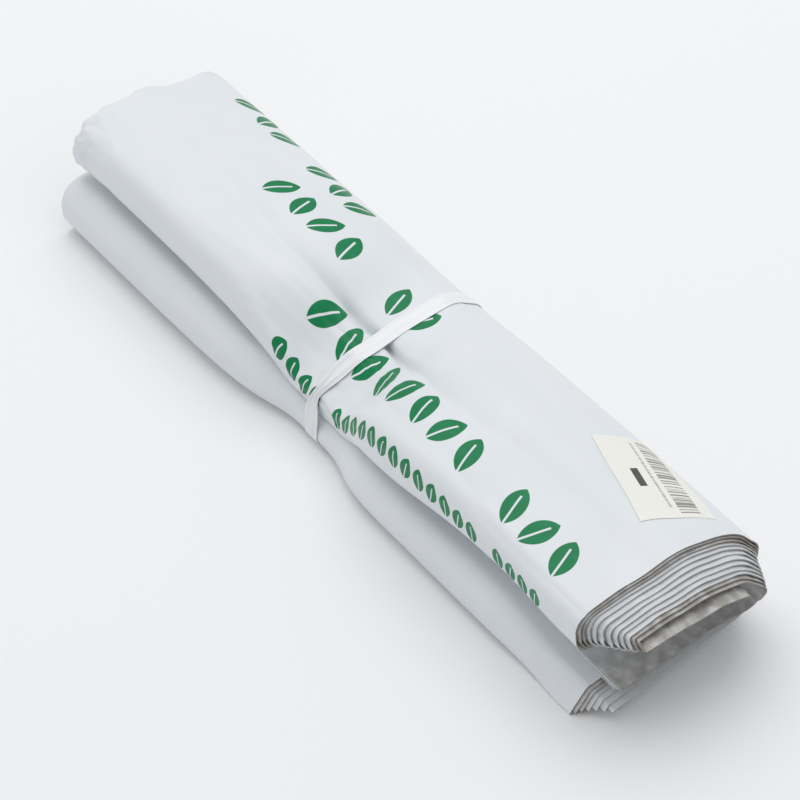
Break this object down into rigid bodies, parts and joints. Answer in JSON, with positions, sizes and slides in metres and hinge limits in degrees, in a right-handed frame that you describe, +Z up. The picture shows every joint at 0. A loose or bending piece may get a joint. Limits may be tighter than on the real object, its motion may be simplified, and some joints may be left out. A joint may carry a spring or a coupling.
{
  "type": "folded bundle of poly mailer bags",
  "caption": "White poly mailer bags stacked flat, folded up together into a long two-pad bundle and held round the middle by a narrow film strap, with a sticker at the fanned end",
  "frame": {"origin": "on the floor, under the middle of the bundle's bounding box", "axes": "+X along the bundle toward the fanned end, +Y across toward the single big fold, +Z up"},
  "size_m": [0.3706, 0.0924, 0.0598],
  "materials": {
    "film": "satin white film with fields of green print",
    "strap": "glossy white film",
    "label": "smooth off-white paper"
  },
  "bodies": {
    "root": {"mailer_01": "film", "mailer_02": "film", "mailer_03": "film", "mailer_04": "film", "mailer_05": "film", "mailer_06": "film", "mailer_07": "film", "mailer_08": "film", "mailer_09": "film", "mailer_10": "film", "mailer_11": "film", "mailer_12": "film", "tie_strap": "strap", "barcode_label": "label"}
  },
  "joints": []
}
